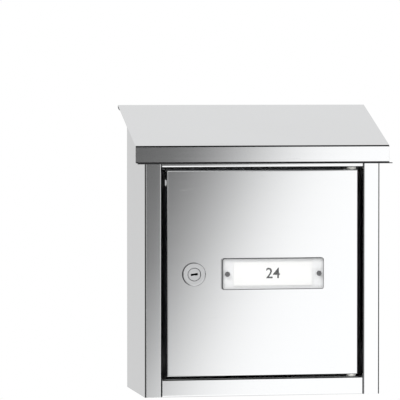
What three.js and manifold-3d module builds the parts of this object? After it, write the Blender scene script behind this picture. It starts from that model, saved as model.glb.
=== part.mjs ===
// A wall mounted mailbox in bent stainless sheet, with a locking front door and a letter plate at its back.
// Millimetres. +X is to the right seen from the front, +Y points into the wall and +Z is up.
// The origin is on the outside of the back panel, at the middle of the face that lies against the wall.

import * as THREE from 'three';
import { mergeVertices } from 'three/addons/utils/BufferGeometryUtils.js';
import Module from 'manifold-3d';

const wasm = await Module();
wasm.setup();

// ---------------------------------------------------------------- driving dimensions

const sheet = 1; // thickness of the steel sheet
const bend = 0.8; // inside radius of a bend
const gap = 0.3; // between pieces that touch
const runningGap = 0.3; // round a pin or a plug
const turnedSides = 28; // of a turned piece

const bodyWidth = 250;
const bodyDepth = 120;
const bodyHeight = 304; // from the underside to the top of the hood
const wallPointHeight = 120; // of the origin above the underside

const postWidth = 18;
const postReturn = 12;

const hoodOverhang = 10; // past each side
const hoodStandOff = 0.6; // of the fascia in front of the posts
const hoodFall = 42.3; // from its back edge to the top of the fascia
const fasciaHeight = 17.5;
const lipDepth = 14;
const rearFlangeHeight = 7.3;
const rearFlangeCorner = 4.5;

const slotMargin = 4.4; // from each end of the slot to the edge of the back panel
const slotHeight = 42.6;
const slotBelowTop = 28.1;
const slotLipDepth = 10;
const slotRelief = 1.8;
const slotReliefDepth = 3.5;
const sideFlange = 12; // of the back panel, along the side panels

const tabHoleRadius = 3.6;
const tabHoleFlat = 2.3; // from the hole's centre to its flat side
const tabHoleInset = 5.1; // from the hole's centre to the edge of the back panel
const tabHoleAbove = 6.1; // from the slot's top edge to the upper holes' centres
const tabHoleBelow = 13.8; // from the slot's bottom edge to the lower holes' centres
const tabLength = 5;

const baseRailHeight = 19;
const baseRailReturn = 14;
const baseRearFlange = 14;
const topRailHeight = 16;
const topRailShows = 4.8; // below the fascia
const topRailReturn = 14;

const doorSideGap = 5.25;
const doorTopGap = 3.1;
const doorBottomGap = 2.3;
const doorRecess = 0.5; // behind the face of the posts
const doorRadius = 1.3;
const doorDepth = 11.5; // of the door's tray

const hingeInset = 6; // of the pin's axis from the door's side and face
const hingePinRadius = 2.5;
const hingeHeadRadius = 4.2;
const hingeHeadHeight = 1.8;
const hingePinReach = 4.5; // of the pin into the door
const hingePinChamfer = 0.8;
const washerRadius = 5;

const lockInset = 28.45; // from the door's left edge
const lockHeight = 128; // of the lock and the name plate above the underside
const bezelRadius = 12.2;
const bezelHeight = 2.8;
const bezelRound = 0.9;
const bezelBoreDrop = 0.2; // from the bezel's face down to the edge of its bore
const bezelBoreSlope = 0.5;
const barrelRadius = 8;
const plugRadius = 6.4;
const plugRecess = 0.4;
const plugChamfer = 0.3;
const keywayLength = 7.4;
const keywayWidth = 2.2;
const keywayDepth = 7;
const keywayCorner = 0.5;
const keywayTilt = 8; // degrees
const nutWall = 2.5;
const nutHeight = 4;
const camOverlap = 6.3; // of the cam's tip past the inside of the post
const camWidth = 12;
const camHubRadius = 7.5;
const camThickness = 2;
const shankSide = 7;
const shankCorner = 0.6;
const camScrewRadius = 1.5;
const camScrewHeadRadius = 4.2;
const camScrewHeadHeight = 2.2;
const camScrewHeadDrop = 0.8; // of the head's rounded edge
const camScrewHeadRound = 1.2;
const camScrewLength = 8;

const plateX = 10.3;
const plateWidth = 108.4;
const plateHeight = 33;
const plateCorner = 2.2;
const backingThickness = 1;
const coverThickness = 2.6;
const cardWidth = 84;
const cardHeight = 25;
const cardThickness = 0.5;
const cardCorner = 0.3;
const pocketCorner = 0.5;
const plateScrewInset = 5.4;
const plateScrewRadius = 1.4;
const plateScrewHeadRadius = 2.7;
const plateScrewHeadHeight = 1.1;
const plateScrewHeadDrop = 0.5; // of the head's rounded edge
const plateScrewHeadRound = 0.7;
const crossArm = 1.62; // from the cross recess's centre to the end of an arm
const crossHalfWidth = 0.35;
const crossDepth = 0.6;
const plateScrewLength = 8;

const letterInset = 2; // from each side of the body
const letterHeight = 55.6;
const letterDepth = 6;
const letterRadius = 1.2; // round its outer edges
const gatePanel = 3; // the panel that is clamped between the box and the letter plate
const letterAboveSlot = 2.9; // from the slot's top edge to the frame's
const letterBorder = 7.2; // at each side of the mouth
const mouthHeight = 30.4;
const mouthBelowTop = 11.6;
const mouthCorner = 0.5;
const collarCorner = 1;
const collarReach = 8; // of the collar past the outside of the back panel, into the slot
const foldLineHeight = 3.2; // of the groove along the frame's bottom border
const foldLineDepth = 0.4;
const flapGap = 0.6;
const flapPinRadius = 1.2;
const flapEyeRadius = 2;
const flapPinBelow = 2.7; // from the mouth's top edge to the pin's axis
const fingerLip = 4.5;

// ---------------------------------------------------------------- worked out from them

const halfBody = bodyWidth / 2;
const postInside = halfBody - postWidth;
const front = -bodyDepth;
const fasciaY = front - hoodStandOff - sheet;
const fasciaTop = bodyHeight - hoodFall;
const fasciaBottom = fasciaTop - fasciaHeight;
const hoodSlope = Math.atan2(hoodFall, -fasciaY);
const flangeBottom = bodyHeight - rearFlangeHeight;
const halfHood = halfBody + hoodOverhang;
const halfBack = halfBody - sheet - gap;
const halfBase = halfBack - sheet - gap;
const halfSlot = halfBack - slotMargin;
const slotTop = bodyHeight - slotBelowTop;
const slotBottom = slotTop - slotHeight;
const topRailBottom = fasciaBottom - topRailShows;
const doorFace = front + doorRecess;
const doorWidth = 2 * (postInside - doorSideGap);
const doorBottom = baseRailHeight + doorBottomGap;
const doorTop = topRailBottom - doorTopGap;
const doorHeight = doorTop - doorBottom;
const hingeX = doorWidth / 2 - hingeInset;
const hingeY = doorFace + hingeInset;
const lockX = lockInset - doorWidth / 2;
const camLength = lockX + postInside + camOverlap;
const bezelBack = doorFace - gap;
const bezelFront = bezelBack - bezelHeight;
const camFront = Math.max(front + postReturn, doorFace + doorDepth) + gap;
const camBack = camFront + camThickness;
const barrelEnd = camFront - 2 * gap;
const letterWidth = bodyWidth - 2 * letterInset;
const letterTop = slotTop + letterAboveSlot;
const letterMiddle = letterTop - letterHeight / 2;
const mouthWidth = letterWidth - 2 * letterBorder;
const mouthTop = letterTop - mouthBelowTop;
const mouthMiddle = mouthTop - mouthHeight / 2;
const letterFace = gatePanel + letterDepth;
const flapPinHeight = mouthTop - flapPinBelow;
const flapPinY = letterFace - sheet - flapEyeRadius;

// ---------------------------------------------------------------- finishes

function finish(color, roughness, metalness) {
  return new THREE.MeshStandardMaterial({ color, roughness, metalness });
}

const polishedSteel = finish(0xc6c7c9, 0.16, 1);
const satinSteel = finish(0x9fa1a4, 0.32, 1);
const platedBrass = finish(0xd2d3d4, 0.14, 1);
const plainSteel = finish(0xa9abae, 0.3, 1);
const nylon = finish(0xe8e8e4, 0.5, 0);
const clearAcrylic = finish(0xf2f4f5, 0.06, 0);
clearAcrylic.transparent = true;
clearAcrylic.opacity = 0.4;
const greyPlastic = finish(0xd9dadb, 0.35, 0);
const cardStock = finish(0xfbfbf9, 0.8, 0);

// ---------------------------------------------------------------- making shapes

const ALONG_X = new THREE.Matrix4().makeBasis(
  new THREE.Vector3(0, 1, 0),
  new THREE.Vector3(0, 0, 1),
  new THREE.Vector3(1, 0, 0),
);
const ALONG_Z = new THREE.Matrix4();
const TOWARDS_FRONT = new THREE.Matrix4().makeBasis(
  new THREE.Vector3(1, 0, 0),
  new THREE.Vector3(0, 0, 1),
  new THREE.Vector3(0, -1, 0),
);

// A closed geometry as a solid that can be joined and cut.
function solid(geometry) {
  const bare = geometry.clone();
  bare.deleteAttribute('normal');
  bare.deleteAttribute('uv');
  const merged = mergeVertices(bare, 1e-4);
  return new wasm.Manifold(new wasm.Mesh({
    numProp: 3,
    vertProperties: merged.attributes.position.array,
    triVerts: merged.index.array,
  }));
}

// A solid as a mesh with the given name and finish.
function piece(name, shape, material) {
  const { vertProperties, triVerts } = shape.getMesh();
  const geometry = new THREE.BufferGeometry();
  geometry.setAttribute('position', new THREE.BufferAttribute(vertProperties, 3));
  geometry.setIndex(new THREE.BufferAttribute(triVerts, 1));
  geometry.computeVertexNormals();
  const mesh = new THREE.Mesh(geometry, material);
  mesh.name = name;
  return mesh;
}

// A flat outline pushed through a length: a (Y, Z) outline along X, an (X, Y) one along Z,
// or an (X, Z) one towards the front.
function push(outline, direction, start, end) {
  const geometry = new THREE.ExtrudeGeometry(outline, {
    depth: end - start,
    bevelEnabled: false,
    curveSegments: 5,
  });
  geometry.translate(0, 0, start);
  return solid(geometry.applyMatrix4(direction));
}

const pushX = (outline, halfLength) => push(outline, ALONG_X, -halfLength, halfLength);
const pushZ = (outline, low, high) => push(outline, ALONG_Z, low, high);
const pushY = (outline, nearWall, nearFront) => push(outline, TOWARDS_FRONT, -nearWall, -nearFront);

function box(x0, x1, y0, y1, z0, z1) {
  const geometry = new THREE.BoxGeometry(x1 - x0, y1 - y0, z1 - z0);
  geometry.translate((x0 + x1) / 2, (y0 + y1) / 2, (z0 + z1) / 2);
  return solid(geometry);
}

function disc(u, v, radius, points = 24) {
  const outline = new THREE.Shape();
  const angle = (2 * Math.PI) / points;
  outline.setFromPoints(Array.from({ length: points }, (_, i) => new THREE.Vector2(
    u + radius * Math.cos(i * angle),
    v + radius * Math.sin(i * angle),
  )));
  return outline;
}

function roundedRectangle(u, v, width, height, radius) {
  const outline = new THREE.Shape();
  const right = u + width / 2 - radius;
  const top = v + height / 2 - radius;
  const left = u - width / 2 + radius;
  const low = v - height / 2 + radius;
  outline.absarc(right, top, radius, 0, Math.PI / 2);
  outline.absarc(left, top, radius, Math.PI / 2, Math.PI);
  outline.absarc(left, low, radius, Math.PI, 1.5 * Math.PI);
  outline.absarc(right, low, radius, 1.5 * Math.PI, 2 * Math.PI);
  return outline;
}

// The section of a bent sheet. The path runs along one face, with the sheet on the left of it.
function bentSheet(path) {
  const face = [];
  const back = [];
  const arcSteps = 5;
  const corners = path.map(([u, v]) => new THREE.Vector2(u, v));
  const heading = (i) => corners[i + 1].clone().sub(corners[i]).normalize();
  const leftOf = (d) => new THREE.Vector2(-d.y, d.x);
  const add = (point, normal) => {
    face.push(point);
    back.unshift(point.clone().addScaledVector(normal, sheet));
  };
  add(corners[0], leftOf(heading(0)));
  for (let i = 1; i < corners.length - 1; i += 1) {
    const before = heading(i - 1);
    const turn = Math.atan2(before.cross(heading(i)), before.dot(heading(i)));
    const side = Math.sign(turn);
    const radius = side > 0 ? bend + sheet : bend;
    const start = corners[i].clone().addScaledVector(before, -radius * Math.tan(Math.abs(turn) / 2));
    const centre = start.addScaledVector(leftOf(before), side * radius);
    for (let k = 0; k <= arcSteps; k += 1) {
      const normal = leftOf(before).rotateAround(new THREE.Vector2(), (turn * k) / arcSteps);
      add(centre.clone().addScaledVector(normal, -side * radius), normal);
    }
  }
  add(corners.at(-1), leftOf(heading(corners.length - 2)));
  return new THREE.Shape([...face, ...back]);
}

const mirrored = (path) => path.map(([u, v]) => [-u, v]).reverse();

// A block from y = 0 to its depth, with the edges round its front face rounded.
function frontRoundedBlock(width, height, depth, radius) {
  const rounded = (span) => {
    const outline = new THREE.Shape();
    outline.moveTo(span / 2, depth);
    outline.lineTo(-span / 2, depth);
    outline.absarc(-span / 2 + radius, radius, radius, Math.PI, 1.5 * Math.PI);
    outline.absarc(span / 2 - radius, radius, radius, 1.5 * Math.PI, 2 * Math.PI);
    return outline;
  };
  const turned = new THREE.Matrix4().makeRotationY(Math.PI / 2);
  const across = push(rounded(width), ALONG_Z, -height / 2, height / 2);
  const upright = push(rounded(height), turned, -width / 2, width / 2);
  return across.intersect(upright);
}

// A shallow tray of bent sheet, open at the back.
function tray(width, height, depth, radius) {
  const inner = Math.max(radius - sheet, 0.2);
  const hollow = frontRoundedBlock(width - 2 * sheet, height - 2 * sheet, depth, inner);
  return frontRoundedBlock(width, height, depth, radius).subtract(hollow.translate([0, sheet, 0]));
}

// A turned piece with its axis along Y at (x, z). The profile lists radius and y.
function turnedY(x, z, profile, closed = false) {
  const points = profile.map(([radius, y]) => new THREE.Vector2(radius, y));
  const geometry = new THREE.LatheGeometry(closed ? [...points, points[0]] : points, turnedSides);
  return outward(solid(geometry.translate(x, 0, z)), geometry);
}

// A turned piece with its axis along Z at (x, y). The profile lists radius and z.
function turnedZ(x, y, profile, closed = false) {
  const points = profile.map(([radius, z]) => new THREE.Vector2(radius, z));
  const geometry = new THREE.LatheGeometry(closed ? [...points, points[0]] : points, turnedSides);
  geometry.rotateX(Math.PI / 2);
  return outward(solid(geometry.translate(x, y, 0)), geometry);
}

// The solid itself, or its faces turned round where the profile ran the other way.
function outward(shape, geometry) {
  if (shape.volume() > 0) return shape;
  const index = geometry.index.array;
  for (let i = 0; i < index.length; i += 3) {
    [index[i], index[i + 2]] = [index[i + 2], index[i]];
  }
  return solid(geometry);
}

// ---------------------------------------------------------------- housing

// Everything above the underside of the hood's slope, less the gap.
function aboveHood() {
  const dropped = (sheet + gap) / Math.cos(hoodSlope);
  const reach = bodyDepth;
  const low = fasciaTop - dropped - reach * Math.tan(hoodSlope);
  const high = bodyHeight - dropped + reach * Math.tan(hoodSlope);
  const ceiling = bodyHeight + bodyDepth;
  const outline = new THREE.Shape([
    new THREE.Vector2(fasciaY - reach, low),
    new THREE.Vector2(reach, high),
    new THREE.Vector2(reach, ceiling),
    new THREE.Vector2(fasciaY - reach, ceiling),
  ]);
  return pushX(outline, bodyWidth);
}

function sidePanel(name, side) {
  const path = [
    [-halfBody, 0],
    [-halfBody, front],
    [-postInside, front],
    [-postInside, front + postReturn],
  ];
  const section = bentSheet(side < 0 ? path : mirrored(path));
  const besideFlange = box(
    -halfHood, halfHood,
    -sheet - gap, gap,
    flangeBottom - gap, bodyHeight + gap,
  );
  const shape = pushZ(section, 0, bodyHeight).subtract(aboveHood()).subtract(besideFlange);
  return piece(name, shape, polishedSteel);
}

// A D-shaped hole with its flat side inwards, pushed through the back panel.
function tabHole(side, height) {
  const x = side * (halfBack - tabHoleInset);
  const round = pushY(disc(x, height, tabHoleRadius), sheet, -2 * sheet);
  const flat = x - side * tabHoleFlat;
  const inside = flat - side * 2 * tabHoleRadius;
  const kept = box(
    Math.min(flat, inside), Math.max(flat, inside),
    -3 * sheet, 2 * sheet,
    height - 2 * tabHoleRadius, height + 2 * tabHoleRadius,
  );
  return round.subtract(kept);
}

// The tab bent inwards from the hole's flat side.
function bentTab(side, height) {
  const flat = side * (halfBack - tabHoleInset - tabHoleFlat);
  const halfHeight = Math.sqrt(tabHoleRadius ** 2 - tabHoleFlat ** 2);
  const outline = new THREE.Shape();
  outline.moveTo(-sheet / 2, height - halfHeight);
  outline.lineTo(-sheet / 2, height + halfHeight);
  outline.lineTo(-tabLength + halfHeight, height + halfHeight);
  outline.absarc(-tabLength + halfHeight, height, halfHeight, Math.PI / 2, 1.5 * Math.PI);
  const edge = flat - side * sheet;
  return push(outline, ALONG_X, Math.min(flat, edge), Math.max(flat, edge));
}

function backPanel() {
  const section = bentSheet([
    [halfBack, -sideFlange],
    [halfBack, 0],
    [-halfBack, 0],
    [-halfBack, -sideFlange],
  ]);
  const reliefBottom = slotBottom - slotReliefDepth;
  const slot = box(-halfSlot, halfSlot, -2 * sheet, sheet, reliefBottom, slotTop);
  const lip = bentSheet([[0, reliefBottom - sheet], [0, slotBottom], [-slotLipDepth, slotBottom]]);
  let shape = pushZ(section, 0, flangeBottom - gap).subtract(slot);
  shape = shape.add(pushX(lip, halfSlot - slotRelief));
  for (const side of [-1, 1]) {
    for (const height of [slotTop + tabHoleAbove, slotBottom - tabHoleBelow]) {
      shape = shape.subtract(tabHole(side, height)).add(bentTab(side, height));
    }
  }
  return piece('back_panel', shape, polishedSteel);
}

// The hole for a hinge pin through the sheet on either side of the given height.
function hingePinHole(height) {
  const round = disc(hingeX, hingeY, hingePinRadius + runningGap);
  return pushZ(round, height - 2 * sheet, height + 2 * sheet);
}

function basePan() {
  const rear = -sheet - gap;
  const section = bentSheet([
    [front + baseRailReturn, baseRailHeight],
    [front, baseRailHeight],
    [front, 0],
    [rear, 0],
    [rear, baseRearFlange],
  ]);
  let shape = pushX(section, halfBase);
  const floorNotch = [front + postReturn + gap, -sheet];
  const railEnd = [front + Math.max(baseRailReturn, postReturn) + gap, 2 * sheet];
  for (const side of [-1, 1]) {
    const inner = side * (postInside - gap);
    const outer = side * halfBody;
    for (const [deep, low] of [floorNotch, railEnd]) {
      shape = shape.subtract(box(
        Math.min(inner, outer), Math.max(inner, outer),
        front - sheet, deep,
        low, baseRailHeight + sheet,
      ));
    }
  }
  return piece('base_pan', shape.subtract(hingePinHole(baseRailHeight)), polishedSteel);
}

function topFrontRail() {
  const top = topRailBottom + topRailHeight;
  const section = bentSheet([
    [front + topRailReturn, top],
    [front, top],
    [front, topRailBottom],
    [front + topRailReturn, topRailBottom],
  ]);
  const shape = pushX(section, postInside - gap).subtract(hingePinHole(topRailBottom));
  return piece('top_front_rail', shape, polishedSteel);
}

// What is cut from the rear flange to round its two lower corners.
function flangeCorner(side) {
  const corner = rearFlangeCorner;
  const x = side * (halfHood - corner);
  const z = flangeBottom + corner;
  const far = side * (halfHood + corner);
  const square = box(Math.min(x, far), Math.max(x, far), -2 * sheet, sheet, z - 2 * corner, z);
  return square.subtract(pushY(disc(x, z, corner, 48), 2 * sheet, -3 * sheet));
}

function hood() {
  const section = bentSheet([
    [0, flangeBottom],
    [0, bodyHeight],
    [fasciaY, fasciaTop],
    [fasciaY, fasciaBottom],
    [fasciaY - lipDepth, fasciaBottom],
  ]);
  let shape = pushX(section, halfHood);
  for (const side of [-1, 1]) {
    shape = shape.subtract(flangeCorner(side));
  }
  return piece('hood', shape, polishedSteel);
}

// ---------------------------------------------------------------- door and its hinge

function doorPanel() {
  const middle = doorBottom + doorHeight / 2;
  let shape = tray(doorWidth, doorHeight, doorDepth, doorRadius).translate([0, doorFace, middle]);
  const through = [doorFace + 2 * sheet, doorFace - sheet];
  shape = shape.subtract(pushY(disc(lockX, lockHeight, barrelRadius + gap), ...through));
  for (const x of plateScrewPlaces()) {
    shape = shape.subtract(pushY(disc(x, lockHeight, plateScrewRadius + gap, 20), ...through));
  }
  shape = shape.subtract(hingePinHole(doorBottom)).subtract(hingePinHole(doorTop));
  return piece('door', shape, polishedSteel);
}

// A headed pin through a rail's return and the door's edge. direction is +1 where the pin points up.
function hingePin(name, railFace, direction) {
  const headStart = railFace - direction * (sheet + gap + hingeHeadHeight);
  const headEnd = railFace - direction * (sheet + gap);
  const doorEdge = direction > 0 ? doorBottom : doorTop;
  const tip = doorEdge + direction * hingePinReach;
  return piece(name, turnedZ(hingeX, hingeY, [
    [0, headStart],
    [hingeHeadRadius, headStart],
    [hingeHeadRadius, headEnd],
    [hingePinRadius, headEnd],
    [hingePinRadius, tip - direction * hingePinChamfer],
    [hingePinRadius - hingePinChamfer, tip],
    [0, tip],
  ]), plainSteel);
}

function hingeWasher(name, low, high) {
  const bore = hingePinRadius + runningGap;
  return piece(name, turnedZ(hingeX, hingeY, [
    [bore, low],
    [washerRadius, low],
    [washerRadius, high],
    [bore, high],
  ], true), nylon);
}

function hingePieces() {
  return [
    hingePin('lower_hinge_pin', baseRailHeight, 1),
    hingePin('upper_hinge_pin', topRailBottom, -1),
    hingeWasher('lower_hinge_washer', baseRailHeight + gap, doorBottom - gap),
    hingeWasher('upper_hinge_washer', doorTop + gap, topRailBottom - gap),
  ];
}

// ---------------------------------------------------------------- lock

function lockBody() {
  const bore = plugRadius + runningGap;
  return piece('lock_body', turnedY(lockX, lockHeight, [
    [bore, bezelFront + bezelBoreDrop],
    [bore + bezelBoreSlope, bezelFront],
    [bezelRadius - 2 * bezelRound, bezelFront],
    [bezelRadius - 0.6 * bezelRound, bezelFront + 0.35 * bezelRound],
    [bezelRadius, bezelFront + 1.4 * bezelRound],
    [bezelRadius, bezelBack],
    [barrelRadius, bezelBack],
    [barrelRadius, barrelEnd],
    [bore, barrelEnd],
  ], true), platedBrass);
}

function lockNut() {
  const start = doorFace + sheet + gap;
  const corner = (2 * (barrelRadius + gap + nutWall)) / Math.sqrt(3);
  const hexagon = pushY(disc(lockX, lockHeight, corner, 6), start + nutHeight, start);
  const bore = pushY(disc(lockX, lockHeight, barrelRadius + gap), start + nutHeight + 1, start - 1);
  return piece('lock_nut', hexagon.subtract(bore), plainSteel);
}

function lockPlug() {
  const face = bezelFront + plugRecess;
  const shoulder = camFront - gap;
  const shank = roundedRectangle(lockX, lockHeight, shankSide, shankSide, shankCorner);
  const keyway = roundedRectangle(0, 0, keywayLength, keywayWidth, keywayCorner);
  const cut = push(keyway, TOWARDS_FRONT, -keywayDepth, 1).rotate([0, keywayTilt, 0]);
  const shape = turnedY(lockX, lockHeight, [
    [0, face],
    [plugRadius - plugChamfer, face],
    [plugRadius, face + plugChamfer],
    [plugRadius, shoulder],
    [0, shoulder],
  ]);
  const bore = pushY(
    disc(lockX, lockHeight, camScrewRadius + gap, 16),
    camBack + 1, camBack - camScrewLength - 1,
  );
  return piece('lock_plug', shape
    .add(pushY(shank, camBack, shoulder - 1))
    .subtract(cut.translate([lockX, face, lockHeight]))
    .subtract(bore), platedBrass);
}

function lockCam() {
  const outline = new THREE.Shape();
  const tip = lockHeight - camLength + camWidth / 2;
  const meets = Math.acos(camWidth / 2 / camHubRadius);
  outline.absarc(lockX, tip, camWidth / 2, Math.PI, 2 * Math.PI);
  outline.absarc(lockX, lockHeight, camHubRadius, -meets, Math.PI + meets);
  const holeSide = shankSide + 2 * gap;
  const hole = roundedRectangle(lockX, lockHeight, holeSide, holeSide, shankCorner);
  const shape = pushY(outline, camBack, camFront).subtract(pushY(hole, camBack + 1, camFront - 1));
  return piece('lock_cam', shape, plainSteel);
}

function camScrew() {
  const under = camBack + gap;
  const top = under + camScrewHeadHeight;
  return piece('cam_screw', turnedY(lockX, lockHeight, [
    [0, under - camScrewLength],
    [camScrewRadius, under - camScrewLength],
    [camScrewRadius, under],
    [camScrewHeadRadius, under],
    [camScrewHeadRadius, top - camScrewHeadDrop],
    [camScrewHeadRadius - camScrewHeadRound, top],
    [0, top],
  ]), plainSteel);
}

// ---------------------------------------------------------------- name plate

const plateBack = doorFace - gap;
const coverBack = plateBack - backingThickness - gap;
const coverFront = coverBack - coverThickness;
const plateScrewPlaces = () => [-1, 1].map((side) => plateX + side * (plateWidth / 2 - plateScrewInset));

function withScrewHoles(shape) {
  return plateScrewPlaces().reduce((kept, x) => kept.subtract(
    pushY(disc(x, lockHeight, plateScrewRadius + gap, 20), plateBack + 1, coverFront - 1),
  ), shape);
}

function plateBacking() {
  const outline = roundedRectangle(plateX, lockHeight, plateWidth, plateHeight, plateCorner);
  const shape = pushY(outline, plateBack, plateBack - backingThickness);
  return piece('name_plate_backing', withScrewHoles(shape), greyPlastic);
}

function plateCover() {
  const outline = roundedRectangle(plateX, lockHeight, plateWidth, plateHeight, plateCorner);
  const pocketWidth = cardWidth + 2 * gap;
  const pocketHeight = cardHeight + 2 * gap;
  const pocket = roundedRectangle(plateX, lockHeight, pocketWidth, pocketHeight, pocketCorner);
  const pocketDepth = cardThickness + gap;
  const shape = pushY(outline, coverBack, coverFront)
    .subtract(pushY(pocket, coverBack + 1, coverBack - pocketDepth));
  return piece('name_plate_cover', withScrewHoles(shape), clearAcrylic);
}

function nameCard() {
  const outline = roundedRectangle(plateX, lockHeight, cardWidth, cardHeight, cardCorner);
  return piece('name_card', pushY(outline, coverBack, coverBack - cardThickness), cardStock);
}

function plateScrew(name, x) {
  const under = coverFront - gap;
  const top = under - plateScrewHeadHeight;
  const shape = turnedY(x, lockHeight, [
    [0, under + plateScrewLength],
    [plateScrewRadius, under + plateScrewLength],
    [plateScrewRadius, under],
    [plateScrewHeadRadius, under],
    [plateScrewHeadRadius, top + plateScrewHeadDrop],
    [plateScrewHeadRadius - plateScrewHeadRound, top],
    [0, top],
  ]);
  const arm = (halfU, halfV) => box(
    x - halfU, x + halfU,
    top - crossDepth, top + crossDepth,
    lockHeight - halfV, lockHeight + halfV,
  );
  const cross = arm(crossArm, crossHalfWidth).add(arm(crossHalfWidth, crossArm));
  return piece(name, shape.subtract(cross), plainSteel);
}

function namePlatePieces() {
  const [left, right] = plateScrewPlaces();
  return [
    plateBacking(),
    nameCard(),
    plateCover(),
    plateScrew('name_plate_screw_left', left),
    plateScrew('name_plate_screw_right', right),
  ];
}

// ---------------------------------------------------------------- letter plate

// The frame's tray and the collar that goes into the slot, with the mouth through both.
function letterPlateFrame() {
  const facing = tray(letterWidth, letterHeight, letterDepth, letterRadius).rotate([0, 0, 180]);
  const collarWidth = mouthWidth + 2 * sheet;
  const collarHeight = mouthHeight + 2 * sheet;
  const collar = roundedRectangle(0, mouthMiddle, collarWidth, collarHeight, collarCorner);
  const mouth = roundedRectangle(0, mouthMiddle, mouthWidth, mouthHeight, mouthCorner);
  const foldLine = letterTop - letterHeight + foldLineHeight;
  const groove = box(
    -letterWidth, letterWidth,
    letterFace - foldLineDepth, letterFace + 1,
    foldLine - foldLineDepth, foldLine,
  );
  const pinOutline = disc(flapPinY, flapPinHeight, flapPinRadius + runningGap, 16);
  const pinHole = pushX(pinOutline, letterWidth / 2 - 2 * sheet);
  const shape = facing.translate([0, letterFace, letterMiddle])
    .add(pushY(collar, letterFace - sheet / 2, -collarReach))
    .subtract(pushY(mouth, letterFace + 1, -collarReach - 1))
    .subtract(groove)
    .subtract(pinHole);
  return piece('letter_plate_frame', shape, satinSteel);
}

function letterFlapPin() {
  const reach = mouthWidth / 2 + sheet + gap;
  return piece('letter_flap_pin', pushX(disc(flapPinY, flapPinHeight, flapPinRadius, 20), reach), plainSteel);
}

// The flap hangs from an eye rolled round the pin, and its bottom edge is bent out as a finger lip.
function letterFlap() {
  const halfFlap = mouthWidth / 2 - flapGap;
  const outside = flapPinY + flapEyeRadius;
  const bottom = mouthTop - mouthHeight + flapGap;
  const section = bentSheet([
    [outside, flapPinHeight],
    [outside, bottom + sheet],
    [outside + fingerLip, bottom],
  ].reverse());
  const eye = pushX(disc(flapPinY, flapPinHeight, flapEyeRadius, 28), halfFlap);
  const bore = pushX(disc(flapPinY, flapPinHeight, flapPinRadius + runningGap / 2, 20), mouthWidth);
  return piece('letter_flap', pushX(section, halfFlap).add(eye).subtract(bore), satinSteel);
}

// ---------------------------------------------------------------- the whole mailbox

const mailbox = new THREE.Group();
mailbox.add(
  sidePanel('left_side_panel', -1),
  sidePanel('right_side_panel', 1),
  backPanel(),
  basePan(),
  topFrontRail(),
  hood(),
  doorPanel(),
  ...hingePieces(),
  lockBody(),
  lockNut(),
  lockPlug(),
  lockCam(),
  camScrew(),
  ...namePlatePieces(),
  letterPlateFrame(),
  letterFlapPin(),
  letterFlap(),
);
mailbox.position.z = -wallPointHeight;

export default mailbox;
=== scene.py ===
"""Finished looks of a wall mounted mailbox in polished sheet steel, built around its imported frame.

Metres. +X is to the right seen from the front, +Y points into the wall and +Z is up.
"""

import logging
import math
from collections.abc import Callable, Iterable, Sequence
from dataclasses import dataclass, field
from enum import Enum

import bmesh
import bpy
from mathutils import Matrix, Vector


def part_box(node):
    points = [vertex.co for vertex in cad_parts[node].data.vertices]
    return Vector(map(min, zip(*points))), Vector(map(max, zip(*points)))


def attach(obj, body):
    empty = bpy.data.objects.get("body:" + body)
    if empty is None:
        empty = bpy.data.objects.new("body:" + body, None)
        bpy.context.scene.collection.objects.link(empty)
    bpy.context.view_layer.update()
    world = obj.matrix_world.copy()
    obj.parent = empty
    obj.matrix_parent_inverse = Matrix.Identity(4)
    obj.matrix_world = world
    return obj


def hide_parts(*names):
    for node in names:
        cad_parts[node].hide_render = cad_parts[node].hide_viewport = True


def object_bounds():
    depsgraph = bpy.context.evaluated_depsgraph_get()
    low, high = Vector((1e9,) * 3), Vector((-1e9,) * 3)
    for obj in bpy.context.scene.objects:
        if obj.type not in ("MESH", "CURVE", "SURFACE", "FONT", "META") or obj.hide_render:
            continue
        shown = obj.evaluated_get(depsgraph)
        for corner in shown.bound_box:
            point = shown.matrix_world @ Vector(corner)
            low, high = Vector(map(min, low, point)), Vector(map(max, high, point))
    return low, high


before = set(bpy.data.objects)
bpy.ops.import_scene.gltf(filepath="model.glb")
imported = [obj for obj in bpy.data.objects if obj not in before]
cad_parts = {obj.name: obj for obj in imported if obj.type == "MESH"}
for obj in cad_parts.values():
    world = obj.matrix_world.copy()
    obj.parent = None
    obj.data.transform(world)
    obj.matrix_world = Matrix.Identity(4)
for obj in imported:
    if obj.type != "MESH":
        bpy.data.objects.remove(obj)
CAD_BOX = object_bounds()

log = logging.getLogger("mailbox")

MM = 0.001
NEAR = 1e-6
FULL_TURN = 2 * math.pi

Point2 = tuple[float, float]
Colour = tuple[float, float, float]
Step = tuple[float, float, float, float]


class Axis(Enum):
    """A direction of the mailbox's own frame."""

    X = 0
    Y = 1
    Z = 2

    @property
    def vector(self) -> Vector:
        """The unit vector along the axis."""
        return Vector([1.0 if i == self.value else 0.0 for i in range(3)])

    @property
    def others(self) -> tuple[int, int]:
        """The indices of the two other axes, in rising order."""
        first, second = [i for i in range(3) if i != self.value]
        return first, second


class Body(Enum):
    """The moving bodies of the frame."""

    HOUSING = "housing"
    DOOR = "door"
    LOCK_CORE = "lock_core"
    FLAP = "letter_flap"


class Slot(Enum):
    """The record's finish slots."""

    POLISHED = "polished_steel"
    SATIN = "satin_steel"
    NICKEL = "lock_nickel"
    PLAIN = "plain_steel"
    NYLON = "nylon"
    CLEAR = "clear_acrylic"
    GREY = "grey_plastic"
    CARD = "card"


# ---------------------------------------------------------------- finishes


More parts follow.
